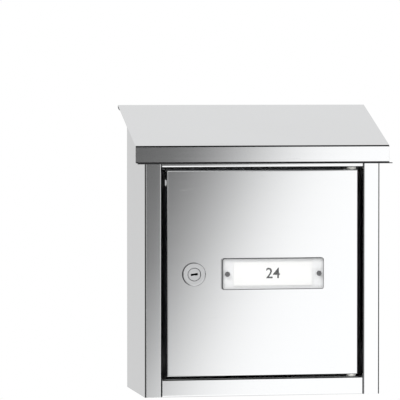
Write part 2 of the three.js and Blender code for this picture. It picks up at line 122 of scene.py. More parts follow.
class NodeBench:
    """A small workbench for laying out one shader's nodes."""

    def __init__(self, tree: bpy.types.NodeTree) -> None:
        """Clear the tree and keep it.

        Args:
            tree: The node tree to fill.
        """
        self.tree = tree
        tree.nodes.clear()

    def add(self, kind: str, **settings: object) -> bpy.types.Node:
        """Add a node and set its plain properties.

        Args:
            kind: The node's type name.
            **settings: Properties of the node and their values.

        Returns:
            The new node.
        """
        node = self.tree.nodes.new(kind)
        for key, value in settings.items():
            setattr(node, key, value)
        return node

    def link(self, source: bpy.types.NodeSocket, target: bpy.types.NodeSocket) -> None:
        """Join an output to an input."""
        self.tree.links.new(source, target)

    def math(self, operation: str, first: object, second: object = 0.0) -> bpy.types.NodeSocket:
        """Add a Math node.

        Args:
            operation: The node's operation.
            first: A socket or a number.
            second: A socket or a number.

        Returns:
            The node's output.
        """
        node = self.add("ShaderNodeMath", operation=operation)
        for value, socket in zip((first, second), node.inputs):
            if isinstance(value, bpy.types.NodeSocket):
                self.link(value, socket)
            else:
                socket.default_value = value
        return node.outputs[0]

    def ramp(self, value: bpy.types.NodeSocket, low: float, high: float,
             start: float = 0.0, end: float = 1.0) -> bpy.types.NodeSocket:
        """Add a smooth step from one value to another.

        Args:
            value: What is stepped over.
            low: Where the step begins.
            high: Where the step ends.
            start: The result at and below low.
            end: The result at and above high.

        Returns:
            The stepped value.
        """
        node = self.add("ShaderNodeMapRange", interpolation_type="SMOOTHSTEP")
        self.link(value, node.inputs["Value"])
        node.inputs["From Min"].default_value = low
        node.inputs["From Max"].default_value = high
        node.inputs["To Min"].default_value = start
        node.inputs["To Max"].default_value = end
        return node.outputs["Result"]

    def noise(self, scale: Sequence[float], turn: float = 0.0, detail: float = 2.0) -> bpy.types.NodeSocket:
        """Add noise on the piece's own coordinates.

        Args:
            scale: How many features a metre holds along each axis.
            turn: How far the pattern is turned about each axis, in radians.
            detail: The noise's detail.

        Returns:
            The noise, from 0 to 1.
        """
        place = self.add("ShaderNodeTexCoord")
        mapping = self.add("ShaderNodeMapping")
        mapping.inputs["Scale"].default_value = scale
        mapping.inputs["Rotation"].default_value = (turn, turn, turn)
        node = self.add("ShaderNodeTexNoise")
        node.inputs["Scale"].default_value = 1.0
        node.inputs["Detail"].default_value = detail
        self.link(place.outputs["Object"], mapping.inputs["Vector"])
        self.link(mapping.outputs["Vector"], node.inputs["Vector"])
        return node.outputs["Fac"]

    def blend(self, amount: bpy.types.NodeSocket, first: Colour, second: Colour) -> bpy.types.NodeSocket:
        """Mix two colours.

        Args:
            amount: 0 for the first, 1 for the second.
            first: The first colour.
            second: The second colour.

        Returns:
            The mixed colour.
        """
        node = self.add("ShaderNodeMix", data_type="RGBA")
        self.link(amount, node.inputs["Factor"])
        for colour, socket in zip((first, second), [s for s in node.inputs if s.type == "RGBA"]):
            socket.default_value = (*colour, 1.0)
        return next(s for s in node.outputs if s.type == "RGBA")


HANDLING_SCALE = (11.0, 13.0, 12.0)
SCUFF_SCALE = (55.0, 900.0, 700.0)
SCUFF_STEP: Step = (0.7, 0.86, 0.0, 0.05)


def shaded(colour: Colour, factor: float) -> Colour:
    """A colour made darker or lighter by a factor."""
    return tuple(min(1.0, channel * factor) for channel in colour)


@dataclass(frozen=True)
class Finish:
    """What every finish has: a name, a colour, a sheen and its variation."""

    name: str
    colour: Colour
    roughness: float
    roughness_spread: float
    grain_scale: tuple[float, float, float]
    grain_depth: float
    mottle: float = 0.05

    def shader(self, bench: NodeBench) -> bpy.types.Node:
        """Lay out the shader with its colour, sheen and grain.

        Args:
            bench: Where the nodes go.

        Returns:
            The Principled node.
        """
        shader = bench.add("ShaderNodeBsdfPrincipled")
        output = bench.add("ShaderNodeOutputMaterial")
        bench.link(shader.outputs["BSDF"], output.inputs["Surface"])
        grain = bench.noise(self.grain_scale)
        handling = bench.noise(HANDLING_SCALE, detail=4.0)
        darker, lighter = (shaded(self.colour, 1 + side * self.mottle) for side in (-1, 1))
        tint = bench.blend(handling, darker, lighter)
        bench.link(tint, shader.inputs["Base Color"])
        uneven = bench.math("MULTIPLY", bench.math("ADD", grain, handling), self.roughness_spread)
        rough = bench.math("ADD", uneven, self.roughness - self.roughness_spread)
        rough = bench.math("ADD", rough, self.wear(bench))
        bench.link(rough, shader.inputs["Roughness"])
        bump = bench.add("ShaderNodeBump")
        bump.inputs["Strength"].default_value = 1.0
        bump.inputs["Distance"].default_value = self.grain_depth
        bench.link(grain, bump.inputs["Height"])
        bench.link(bump.outputs["Normal"], shader.inputs["Normal"])
        return shader

    def wear(self, bench: NodeBench) -> bpy.types.NodeSocket:
        """Fine scuffs in a few directions, as added roughness."""
        scuffs = bench.noise(SCUFF_SCALE, turn=0.6, detail=1.0)
        return bench.ramp(scuffs, *SCUFF_STEP)

    def material(self) -> bpy.types.Material:
        """The finish as a material, made once and shared."""
        known = bpy.data.materials.get(self.name)
        if known:
            return known
        made = bpy.data.materials.new(self.name)
        made.use_nodes = True
        self.shader(NodeBench(made.node_tree))
        return made


@dataclass(frozen=True)
class Metal(Finish):
    """A metal surface, with its edges rubbed a little rougher."""

    edge_radius: float = 0.5 * MM
    edge_rub: float = 0.07

    def shader(self, bench: NodeBench) -> bpy.types.Node:
        """Lay out a metal shader.

        Args:
            bench: Where the nodes go.

        Returns:
            The Principled node.
        """
        shader = super().shader(bench)
        shader.inputs["Metallic"].default_value = 1.0
        return shader

    def wear(self, bench: NodeBench) -> bpy.types.NodeSocket:
        """Scuffs, and rubbed edges.

        Args:
            bench: Where the nodes go.

        Returns:
            The added roughness.
        """
        rounded = bench.add("ShaderNodeBevel", samples=4)
        rounded.inputs["Radius"].default_value = self.edge_radius
        surface = bench.add("ShaderNodeNewGeometry")
        facing = bench.add("ShaderNodeVectorMath", operation="DOT_PRODUCT")
        bench.link(rounded.outputs["Normal"], facing.inputs[0])
        bench.link(surface.outputs["Normal"], facing.inputs[1])
        rubbed = bench.ramp(facing.outputs["Value"], 0.8, 0.99, self.edge_rub, 0.0)
        return bench.math("ADD", super().wear(bench), rubbed)


@dataclass(frozen=True)
class Clear(Finish):
    """A clear moulded plastic, thin enough to see straight through."""

    index: float = 1.49
    cover: float = 0.06

    def shader(self, bench: NodeBench) -> bpy.types.Node:
        """Lay out a clear shader.

        Args:
            bench: Where the nodes go.

        Returns:
            The Principled node.
        """
        shader = super().shader(bench)
        shader.inputs["Alpha"].default_value = self.cover
        shader.inputs["IOR"].default_value = self.index
        return shader


STEEL: Colour = (0.62, 0.625, 0.63)
FINE_GRAIN = 2e-7

POLISHED_ALONG_X = Metal("polished steel, grain across", STEEL, 0.07, 0.02, (14, 1600, 1600),
                         FINE_GRAIN, 0.02)
POLISHED_ALONG_Z = Metal("polished steel, grain upright", STEEL, 0.07, 0.02, (1600, 1600, 14),
                         FINE_GRAIN, 0.02)
SATIN = Metal("satin steel", (0.5, 0.505, 0.515), 0.26, 0.07, (22, 2400, 2400), 1.4e-6, 0.05)
MILL = Metal("mill finish, inside", (0.34, 0.345, 0.35), 0.3, 0.08, (600, 600, 600), 8e-7, 0.08)
# Near-black finish used as painted shade: it paints the dark line at the hood fascia's foot and a dark
# outline round the lock bezel.
PAINTED_EDGE_SHADE = Metal("edge darkened as painted shade", (0.05, 0.05, 0.052), 0.4, 0.08, (900, 900, 900), 1e-6, 0.2)
NICKEL = Metal("satin nickel", (0.6, 0.605, 0.61), 0.3, 0.05, (900, 900, 900), 8e-7, 0.04, 0.3 * MM)
ZINC = Metal("zinc plate", (0.55, 0.56, 0.575), 0.3, 0.08, (1300, 1300, 1300), 1.5e-6, 0.1, 0.3 * MM)
DULLED = Metal("dulled metal", (0.2, 0.2, 0.205), 0.34, 0.08, (1300, 1300, 1300), 1.5e-6, 0.15, 0.2 * MM)
NYLON = Finish("natural nylon", (0.8, 0.8, 0.76), 0.48, 0.05, (700, 700, 700), 6e-6)
ACRYLIC = Clear("clear acrylic", (0.9, 0.91, 0.91), 0.04, 0.01, (500, 500, 500), FINE_GRAIN, 0.01)
# Dark, nearly opaque finish for the clear cover's edges: painted shade standing for the darkening that
# refraction gives them.
ACRYLIC_EDGE_PAINTED_SHADE = Clear("acrylic edge with painted shade", (0.04, 0.043, 0.046), 0.3, 0.05, (900, 900, 900), 1e-6, 0.1,
                     cover=0.92)
GREY = Finish("light grey moulding", (0.88, 0.885, 0.89), 0.36, 0.05, (1100, 1100, 1100), 5e-6, 0.03)
CARD = Finish("white card", (0.93, 0.93, 0.92), 0.75, 0.06, (2200, 2600, 2600), 8e-6, 0.02)
INK = Finish("black ink", (0.012, 0.012, 0.013), 0.5, 0.08, (2200, 2600, 2600), 4e-6, 0.2)
PALE_FLOOR = Finish("pale floor", (0.86, 0.86, 0.86), 0.7, 0.05, (90, 90, 90), 2e-5, 0.01)


# ---------------------------------------------------------------- working sheet and bar


@dataclass(frozen=True)
class Stock:
    """The sheet that the mailbox is bent from, and the gaps it is put together with."""

    thickness: float = 1 * MM
    inside_bend: float = 0.8 * MM
    gap: float = 0.3 * MM
    bend_steps: int = 6
    deburr: float = 0.16 * MM


STOCK = Stock()


def geometry(bm: bmesh.types.BMesh, faces: Iterable[bmesh.types.BMFace] | None = None) -> list:
    """The faces with their edges and vertices, as the operators want them.

    Args:
        bm: The mesh.
        faces: The faces meant, or None for the whole mesh.

    Returns:
        Vertices, edges and faces in one list.
    """
    if faces is None:
        return [*bm.verts, *bm.edges, *bm.faces]
    kept = list(faces)
    edges = {edge for face in kept for edge in face.edges}
    verts = {vert for face in kept for vert in face.verts}
    return [*verts, *edges, *kept]


def lying_in(bm: bmesh.types.BMesh, axis: Axis, level: float) -> list[bmesh.types.BMFace]:
    """The faces that lie in the plane across an axis at a level."""
    return [f for f in bm.faces if all(abs(v.co[axis.value] - level) < NEAR for v in f.verts)]


def slice_at(bm: bmesh.types.BMesh, axis: Axis, level: float,
             faces: Iterable[bmesh.types.BMFace] | None = None) -> None:
    """Cut the faces along a plane across an axis, and keep both sides."""
    bmesh.ops.bisect_plane(bm, geom=geometry(bm, faces), dist=1e-7,
                           plane_co=axis.vector * level, plane_no=axis.vector)


def drop_faces(bm: bmesh.types.BMesh, unwanted: Callable[[Vector], bool]) -> None:
    """Delete the faces whose middle passes a test."""
    gone = [f for f in bm.faces if unwanted(f.calc_center_median())]
    bmesh.ops.delete(bm, geom=gone, context="FACES")


def sweep(bm: bmesh.types.BMesh, edges: Sequence[bmesh.types.BMEdge],
          way: Vector) -> tuple[list[bmesh.types.BMVert], list[bmesh.types.BMEdge]]:
    """Extrude edges and move what is new.

    Args:
        bm: The mesh.
        edges: The edges.
        way: How far they go.

    Returns:
        The new vertices and the new edges.
    """
    made = bmesh.ops.extrude_edge_only(bm, edges=edges)["geom"]
    verts = [g for g in made if isinstance(g, bmesh.types.BMVert)]
    bmesh.ops.translate(bm, verts=verts, vec=way)
    return verts, [g for g in made if isinstance(g, bmesh.types.BMEdge)]


def face_towards(bm: bmesh.types.BMesh, axis: Axis, level: float, sign: int) -> None:
    """Make an open shell's faces agree, and point those in one plane the stated way.

    Args:
        bm: The mesh.
        axis: The axis across the plane.
        level: Where the plane is.
        sign: +1 or -1, the way its faces point along the axis.
    """
    bmesh.ops.recalc_face_normals(bm, faces=bm.faces[:])
    bm.normal_update()
    if lying_in(bm, axis, level)[0].normal[axis.value] * sign < 0:
        bmesh.ops.reverse_faces(bm, faces=bm.faces[:])


def folded(path: Sequence[Point2], along: Axis, low: float, high: float,
           stock: Stock = STOCK) -> bmesh.types.BMesh:
    """The outer face of a sheet folded along straight lines.

    Args:
        path: Corners of the outer face: (y, z) where it runs along X, (x, y) where it runs along Z.
            The sheet's thickness lies on the left of the path.
        along: The direction of the folds.
        low: Where the sheet starts along it.
        high: Where it ends.
        stock: The sheet.

    Returns:
        The open face, pointing away from the sheet's thickness.
    """
    first, second = along.others

    def place(u: float, v: float, level: float) -> Vector:
        spot = Vector()
        spot[first], spot[second], spot[along.value] = u, v, level
        return spot

    bm = bmesh.new()
    verts = [bm.verts.new(place(u, v, low)) for u, v in path]
    edges = [bm.edges.new(pair) for pair in zip(verts, verts[1:])]
    sweep(bm, edges, along.vector * (high - low))
    bm.normal_update()
    for start, end in zip(path, path[1:]):
        middle = place((start[0] + end[0]) / 2, (start[1] + end[1]) / 2, (low + high) / 2)
        outward = place(end[1] - start[1], start[0] - end[0], 0)
        face = min(bm.faces, key=lambda f: (f.calc_center_median() - middle).length)
        if face.normal.dot(outward) < 0:
            face.normal_flip()
    for before, corner, after in zip(path, path[1:], path[2:]):
        heading = Vector(corner) - Vector(before)
        onward = Vector(after) - Vector(corner)
        turn = math.atan2(heading.cross(onward), heading.dot(onward))
        radius = stock.inside_bend + (stock.thickness if turn > 0 else 0)
        fold(bm, along, place(*corner, low), radius * math.tan(abs(turn) / 2), stock.bend_steps)
    return bm


def fold(bm: bmesh.types.BMesh, along: Axis, spot: Vector, offset: float, steps: int) -> None:
    """Round the edge that runs along an axis through a spot.

    Args:
        bm: The mesh.
        along: The edge's direction.
        spot: Any point on the edge's line.
        offset: How far from the edge the bend begins.
        steps: How many facets the bend has.
    """
    first, second = along.others
    line = [e for e in bm.edges if all(
        abs(v.co[first] - spot[first]) < NEAR and abs(v.co[second] - spot[second]) < NEAR for v in e.verts
    )]
    round_off(bm, line, offset, steps)


def round_off(bm: bmesh.types.BMesh, what: list, radius: float, steps: int = 8, affect: str = "EDGES",
              clamp: bool = False) -> None:
    """Round edges, or the corners of a flat outline.

    Args:
        bm: The mesh.
        what: The edges or the corners.
        radius: How far from them the rounding begins.
        steps: How many facets it has.
        affect: EDGES or VERTICES.
        clamp: Whether it stops where it would overlap itself.
    """
    bmesh.ops.bevel(bm, geom=what, offset=radius, offset_type="OFFSET", segments=steps, profile=0.5,
                    affect=affect, material=-1, clamp_overlap=clamp)


def punch(bm: bmesh.types.BMesh, axis: Axis, level: float, centre: Point2, radius: float,
          flat: float | None = None) -> list[bmesh.types.BMEdge]:
    """Punch a round or D-shaped hole through a flat face.

    Args:
        bm: The mesh.
        axis: The hole's axis.
        level: Where the flat face is along it.
        centre: The hole's centre on the two other axes.
        radius: The hole's radius.
        flat: The signed distance, along the first other axis, from the centre to a flat side.

    Returns:
        The edges round the hole.
    """
    first, second = axis.others
    plain = lying_in(bm, axis, level)
    facing = plain[0].normal[axis.value]
    reach = {i: [v.co[i] for f in plain for v in f.verts] for i in (first, second)}
    room = radius * 1.2
    sides = {i: (max(c - room, min(reach[i])), min(c + room, max(reach[i])))
             for i, c in zip((first, second), centre)}
    for i, levels in sides.items():
        for cut in levels:
            slice_at(bm, Axis(i), cut, lying_in(bm, axis, level))
    inside = [f for f in lying_in(bm, axis, level) if all(
        sides[i][0] < f.calc_center_median()[i] < sides[i][1] for i in (first, second)
    )]
    rim = {e for f in inside for e in f.edges if sum(g in inside for g in e.link_faces) == 1}
    bmesh.ops.delete(bm, geom=inside, context="FACES_ONLY")
    bmesh.ops.delete(bm, geom=[e for e in bm.edges if not e.link_faces and e not in rim], context="EDGES")
    spot = axis.vector * level
    spot[first], spot[second] = centre
    upright = {Axis.X: Matrix.Rotation(math.pi / 2, 4, "Y"), Axis.Y: Matrix.Rotation(math.pi / 2, 4, "X"),
               Axis.Z: Matrix.Identity(4)}[axis]
    before = set(bm.faces)
    ring = bmesh.ops.create_circle(bm, cap_ends=True, segments=36, radius=radius,
                                   matrix=Matrix.Translation(spot) @ upright)["verts"]
    limit = sides[first][1] if centre[0] > 0 else sides[first][0]
    for vert in ring:
        over = (vert.co[first] - limit) * math.copysign(1, centre[0]) + 0.1 * MM
        if over > 0:
            vert.co[first] -= math.copysign(over, centre[0])
    disc = [f for f in bm.faces if f not in before]
    if flat is not None:
        cut = spot + Axis(first).vector * flat
        bmesh.ops.bisect_plane(bm, geom=geometry(bm, disc), dist=1e-7, plane_co=cut,
                               plane_no=Axis(first).vector * math.copysign(1, flat), clear_outer=True)
        disc = [f for f in bm.faces if f not in before]
    hole = list({e for f in disc for e in f.edges})
    bmesh.ops.delete(bm, geom=disc, context="FACES_ONLY")
    joined = bmesh.ops.bridge_loops(bm, edges=[*hole, *(e for e in rim if e.is_valid)])["faces"]
    bm.normal_update()
    bmesh.ops.reverse_faces(bm, faces=[f for f in joined if f.normal[axis.value] * facing < 0])
    return [e for e in hole if e.is_valid]


def turned(axis: Axis, centre: Point2, profile: Sequence[Point2], closed: bool = False,
           steps: int = 64, into: bmesh.types.BMesh | None = None) -> bmesh.types.BMesh:
    """A piece turned on a lathe.

    Args:
        axis: The lathe's axis.
        centre: Where the axis is, on the two other axes.
        profile: (radius, place along the axis) pairs.
        closed: Whether the profile closes on itself, clear of the axis.
        steps: How many facets go round.
        into: A mesh to add it to.

    Returns:
        The closed mesh.
    """
    bm = into or bmesh.new()
    first, second = axis.others
    heart = Vector()
    heart[first], heart[second] = centre
    verts = []
    for radius, level in profile:
        spot = heart + axis.vector * level
        spot[first] += radius
        verts.append(bm.verts.new(spot))
    ends = [*verts[1:], verts[0]] if closed else verts[1:]
    edges = [bm.edges.new(pair) for pair in zip(verts, ends)]
    before = set(bm.faces)
    bmesh.ops.spin(bm, geom=[*verts, *edges], cent=heart, axis=axis.vector, angle=FULL_TURN,
                   steps=steps, use_merge=True)
    own = {v for f in bm.faces if f not in before for v in f.verts}
    bmesh.ops.remove_doubles(bm, verts=list(own), dist=1e-7)
    bmesh.ops.recalc_face_normals(bm, faces=[f for f in bm.faces if f not in before])
    return bm


def flat_plate(axis: Axis, corners: Sequence[Point2], level: float, depth: float,
               radii: Sequence[float] = ()) -> bmesh.types.BMesh:
    """A plate cut to an outline.

    Args:
        axis: The axis across the plate.
        corners: The outline's corners on the two other axes.
        level: Where the plate starts along the axis.
        depth: How far it goes, signed.
        radii: The rounding of each corner, if any.

    Returns:
        The closed mesh.
    """
    first, second = axis.others
    bm = bmesh.new()
    verts = []
    for u, v in corners:
        spot = axis.vector * level
        spot[first], spot[second] = u, v
        verts.append(bm.verts.new(spot))
    bm.faces.new(verts)
    for vert, radius in zip(verts, radii):
        round_off(bm, [vert], radius, affect="VERTICES")
    swept = bmesh.ops.extrude_face_region(bm, geom=bm.faces[:])["geom"]
    moved = [g for g in swept if isinstance(g, bmesh.types.BMVert)]
    bmesh.ops.translate(bm, verts=moved, vec=axis.vector * depth)
    bmesh.ops.recalc_face_normals(bm, faces=bm.faces[:])
    return bm


def middle_of(node: str, across: Axis = Axis.Y) -> Point2:
    """The middle of a node's box, on the two axes other than the given one."""
    low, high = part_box(node)
    first, second = across.others
    return (low[first] + high[first]) / 2, (low[second] + high[second]) / 2


def rectangle(centre: Point2, width: float, height: float) -> list[Point2]:
    """The corners of an upright rectangle."""
    u, v = centre
    return [(u + a * width / 2, v + b * height / 2) for a, b in ((-1, -1), (1, -1), (1, 1), (-1, 1))]


def open_tray(low: Vector, high: Vector, front: int, radius: float) -> bmesh.types.BMesh:
    """The outer face of a shallow tray that is open away from its front.

    Args:
        low: The tray's lowest corner.
        high: Its highest corner.
        front: -1 where it faces -Y, +1 where it faces +Y.
        radius: Of the bends round its front.

    Returns:
        The open face, pointing out.
    """
    bm = bmesh.new()
    size = high - low
    place = Matrix.Translation((low + high) / 2) @ Matrix.Diagonal((*size, 1))
    bmesh.ops.create_cube(bm, size=1.0, matrix=place)
    face_level = low.y if front < 0 else high.y
    rear_level = high.y if front < 0 else low.y
    bmesh.ops.delete(bm, geom=lying_in(bm, Axis.Y, rear_level), context="FACES")
    rim = [e for f in lying_in(bm, Axis.Y, face_level) for e in f.edges]
    round_off(bm, rim, radius, steps=5)
    face_towards(bm, Axis.Y, face_level, front)
    return bm


def settle_normals(mesh: bpy.types.Mesh) -> None:
    """Shade every flat by its own true normal, and let the bends run smoothly into the flats.

    Args:
        mesh: The finished mesh.
    """
    same_flat = math.cos(math.radians(0.3))
    same_curve = math.cos(math.radians(35))
    bm = bmesh.new()
    bm.from_mesh(mesh)
    weight: dict[int, float] = {}
    for seed in bm.faces:
        if seed.index in weight:
            continue
        flat = [seed]
        weight[seed.index] = 0.0
        for member in flat:
            for other in (f for e in member.edges for f in e.link_faces if f.index not in weight):
                if other.normal.dot(seed.normal) > same_flat:
                    weight[other.index] = 0.0
                    flat.append(other)
        area = sum(f.calc_area() for f in flat)
        for member in flat:
            weight[member.index] = area**2
    normals = []
    for face in bm.faces:
        for loop in face.loops:
            near = [f for f in loop.vert.link_faces if f.normal.dot(face.normal) > same_curve]
            total = sum((f.normal * weight[f.index] for f in near), Vector())
            normals.append(total.normalized() if total.length > 0 else face.normal.copy())
    bm.free()
    mesh.normals_split_custom_set(normals)


def finished_mesh(bm: bmesh.types.BMesh, name: str, finishes: Sequence[Finish], wall: float,
                  edge: float) -> bpy.types.Mesh:
    """Give an outline its wall, its finishes and its broken edges.

    Args:
        bm: The mesh, in place. It is freed.
        name: The finished mesh's name.
        finishes: The outer finish, and one for the back of the sheet if it differs.
        wall: The thickness given to an open face, behind it.
        edge: The width of the broken edges.

    Returns:
        The finished mesh.
    """
    raw = bpy.data.meshes.new(f"{name}_raw")
    bm.to_mesh(raw)
    bm.free()
    for finish in finishes:
        raw.materials.append(finish.material())
    draft = bpy.data.objects.new(f"{name}_draft", raw)
    bpy.context.scene.collection.objects.link(draft)
    if wall:
        shell = draft.modifiers.new("wall", "SOLIDIFY")
        shell.thickness = wall
        shell.offset = -1
        shell.use_even_offset = True
        shell.material_offset = len(finishes) - 1
    if edge:
        broken = draft.modifiers.new("broken edges", "BEVEL")
        broken.width = edge
        broken.segments = 2
        broken.limit_method = "ANGLE"
        broken.angle_limit = math.radians(38)
    bpy.context.view_layer.update()
    mesh = bpy.data.meshes.new_from_object(draft.evaluated_get(bpy.context.evaluated_depsgraph_get()))
    bpy.data.objects.remove(draft)
    bpy.data.meshes.remove(raw)
    clean = bmesh.new()
    clean.from_mesh(mesh)
    bmesh.ops.dissolve_degenerate(clean, dist=2 * NEAR, edges=clean.edges[:])
    clean.to_mesh(mesh)
    clean.free()
    mesh.name = name
    mesh.polygons.foreach_set("use_smooth", [True] * len(mesh.polygons))
    settle_normals(mesh)
    return mesh


def publish(bm: bmesh.types.BMesh, node: str, finish: Finish, body: Body,
            wall: float = 0.0, edge: float = STOCK.deburr, replaces: bool = True,
            inside: Finish | None = None) -> bpy.types.Object:
    """Hand a finished piece over to the scene.

    Args:
        bm: The mesh, in place. It is freed.
        node: The frame's node that it stands for, or its own name.
        finish: Its finish.
        body: What it moves with.
        wall: The thickness given to an open face, behind it.
        edge: The width of the broken edges.
        replaces: Whether a node of the frame is hidden for it.
        inside: The finish of the sheet's back, if it differs.

    Returns:
        The new object.
    """
    name = f"{node}_skin"
    mesh = finished_mesh(bm, name, [finish, inside] if inside else [finish], wall, edge)
    piece = bpy.data.objects.new(name, mesh)
    bpy.context.scene.collection.objects.link(piece)
    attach(piece, body.value)
    if replaces:
        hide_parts(node)
    log.info("%s on %s: %d faces", piece.name, body.value, len(mesh.polygons))
    return piece


def refinish(piece: bpy.types.Object, finish: Finish,
             chosen: Callable[[bpy.types.MeshPolygon], bool]) -> None:
    """Give some faces of a piece a finish of their own.

    Args:
        piece: The piece.
        finish: The finish.
        chosen: Says of each face whether it is one of them.
    """
    piece.data.materials.append(finish.material())
    for face in piece.data.polygons:
        if chosen(face):
            face.material_index = len(piece.data.materials) - 1


# ---------------------------------------------------------------- housing


@dataclass
class Housing:
    """The bent sheets of the box, its hood and its rails."""

    stock: Stock = STOCK
    post_return: float = 12 * MM
    hood_fall: float = 42.3 * MM
    fascia_height: float = 17.5 * MM
    lip_depth: float = 14 * MM
    flange_height: float = 7.3 * MM
    flange_corner: float = 4.5 * MM
    slot_margin: float = 4.4 * MM
    slot_height: float = 42.6 * MM
    slot_below_top: float = 28.1 * MM
    slot_lip: float = 10 * MM
    slot_relief: float = 1.8 * MM
    slot_relief_depth: float = 3.5 * MM
    hole_radius: float = 3.6 * MM
    hole_flat: float = 2.3 * MM
    hole_inset: float = 5.1 * MM
    hole_above: float = 6.1 * MM
    hole_below: float = 13.8 * MM
    tab_length: float = 5 * MM
    tab_rounding: float = 0.8
    rail_return: float = 14 * MM
    pin_hole: float = 2.8 * MM
    pin_radius: float = 2.5 * MM
    pin_point: float = 0.8 * MM
    head_height: float = 1.8 * MM
    fascia: float = field(init=False)
    brow: float = field(init=False)
    ridge: float = field(init=False)

    def __post_init__(self) -> None:
        """Work out the hood's lines from the frame."""
        low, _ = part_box("hood")
        self.fascia = low.y + self.lip_depth
        self.brow = low.z + self.stock.thickness + self.fascia_height
        self.ridge = self.brow + self.hood_fall

    @property
    def slope(self) -> float:
        """The hood's fall from level, in radians."""
        return math.atan2(self.hood_fall, -self.fascia)

    def build(self) -> None:
        """Make every sheet of the housing."""
        self.hood()
        for side in (-1, 1):
            self.side_panel(side)
        self.back_panel()
        self.base_pan()
        self.top_rail()
        self.hinges()

    def dress(self, bm: bmesh.types.BMesh, node: str, finish: Metal) -> bpy.types.Object:
        """Give a sheet its thickness, its outer finish and the mill finish inside."""
        return publish(bm, node, finish, Body.HOUSING, wall=self.stock.thickness, inside=MILL)

    def hood(self) -> None:
        """The slope, its fascia with a lip folded forwards, and the flange behind."""
        low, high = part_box("hood")
        foot = low.z + self.stock.thickness
        flange_foot = self.ridge - self.flange_height
        path = [(0.0, flange_foot), (0.0, self.ridge), (self.fascia, self.brow),
                (self.fascia, foot), (low.y, foot)]
        bm = folded(path, Axis.X, low.x, high.x)
        corners = [v for v in bm.verts if abs(v.co.z - flange_foot) < NEAR and abs(v.co.y) < NEAR]
        round_off(bm, corners, self.flange_corner, affect="VERTICES")
        piece = self.dress(bm, "hood", POLISHED_ALONG_X)
        # The lip's front cut edge is real, but its near-black colour is painted shade: it paints the dark
        # line at the fascia's foot.
        refinish(piece, PAINTED_EDGE_SHADE, lambda face: face.center.y < low.y + STOCK.deburr * 1.5)

    def side_panel(self, side: int) -> None:
        """A side panel, bent round the corner into a front post.

        Args:
            side: -1 for the left, +1 for the right.
        """
        node = "left_side_panel" if side < 0 else "right_side_panel"
        low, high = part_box(node)
        outside, inside = (low.x, high.x) if side < 0 else (high.x, low.x)
        path = [(outside, high.y), (outside, low.y), (inside, low.y), (inside, low.y + self.post_return)]
        bm = folded(path if side < 0 else path[::-1], Axis.Z, low.z, self.ridge)
        drop = (self.stock.thickness + self.stock.gap) / math.cos(self.slope)
        bmesh.ops.bisect_plane(bm, geom=geometry(bm), dist=1e-7, plane_co=(0, 0, self.ridge - drop),
                               plane_no=(0, -math.sin(self.slope), math.cos(self.slope)), clear_outer=True)
        clear_y = -self.stock.thickness - self.stock.gap
        clear_z = self.ridge - self.flange_height - self.stock.gap
        slice_at(bm, Axis.Y, clear_y)
        slice_at(bm, Axis.Z, clear_z)
        drop_faces(bm, lambda c: c.y > clear_y and c.z > clear_z)
        self.dress(bm, node, POLISHED_ALONG_Z)

    def back_panel(self) -> None:
        """The back, with its posting slot, the slot's folded lip and four D-shaped holes with tabs."""
        low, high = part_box("back_panel")
        top = self.ridge - self.slot_below_top
        bottom = top - self.slot_height
        relief = bottom - self.slot_relief_depth
        half_slot = high.x - self.slot_margin
        half_lip = half_slot - self.slot_relief
        path = [(high.x, low.y), (high.x, 0.0), (low.x, 0.0), (low.x, low.y)]
        bm = folded(path, Axis.Z, low.z, high.z)
        for level in (relief, bottom, top):
            slice_at(bm, Axis.Z, level)
        for level in (-half_slot, -half_lip, half_lip, half_slot):
            slice_at(bm, Axis.X, level, lying_in(bm, Axis.Y, 0.0))
        drop_faces(bm, lambda c: abs(c.y) < NEAR and abs(c.x) < half_slot and (
            bottom < c.z < top or (relief < c.z < bottom and abs(c.x) > half_lip)
        ))
        self.slot_lip_fold(bm, bottom, half_lip)
        for side in (-1, 1):
            for height in (top + self.hole_above, bottom - self.hole_below):
                self.tabbed_hole(bm, side * (high.x - self.hole_inset), height)
        self.dress(bm, "back_panel", POLISHED_ALONG_Z)

    def slot_lip_fold(self, bm: bmesh.types.BMesh, bottom: float, half_lip: float) -> None:
        """Fold the slot's lower edge inwards.

        Args:
            bm: The back panel.
            bottom: The height of the fold.
            half_lip: Half the lip's width.
        """
        edge = [e for e in bm.edges if e.is_boundary and all(
            abs(v.co.z - bottom) < NEAR and abs(v.co.x) < half_lip + NEAR for v in e.verts
        )]
        sweep(bm, edge, -Axis.Y.vector * self.slot_lip)
        face_towards(bm, Axis.Y, 0.0, 1)
        radius = self.stock.inside_bend + self.stock.thickness
        fold(bm, Axis.X, Vector((0, 0, bottom)), radius, self.stock.bend_steps)

    def tabbed_hole(self, bm: bmesh.types.BMesh, x: float, height: float) -> None:
        """One D-shaped hole, with the tab that was bent in from its flat side.

        Args:
            bm: The back panel.
            x: The hole's centre.
            height: The hole's height.
        """
        flat = -math.copysign(self.hole_flat, x)
        rim = punch(bm, Axis.Y, 0.0, (x, height), self.hole_radius, flat)
        edge = [e for e in rim if all(abs(v.co.x - x - flat) < 10 * NEAR for v in e.verts)]
        moved, _ = sweep(bm, edge, -Axis.Y.vector * self.tab_length)
        round_off(bm, moved, self.hole_flat * self.tab_rounding, affect="VERTICES")
        face_towards(bm, Axis.Y, 0.0, 1)

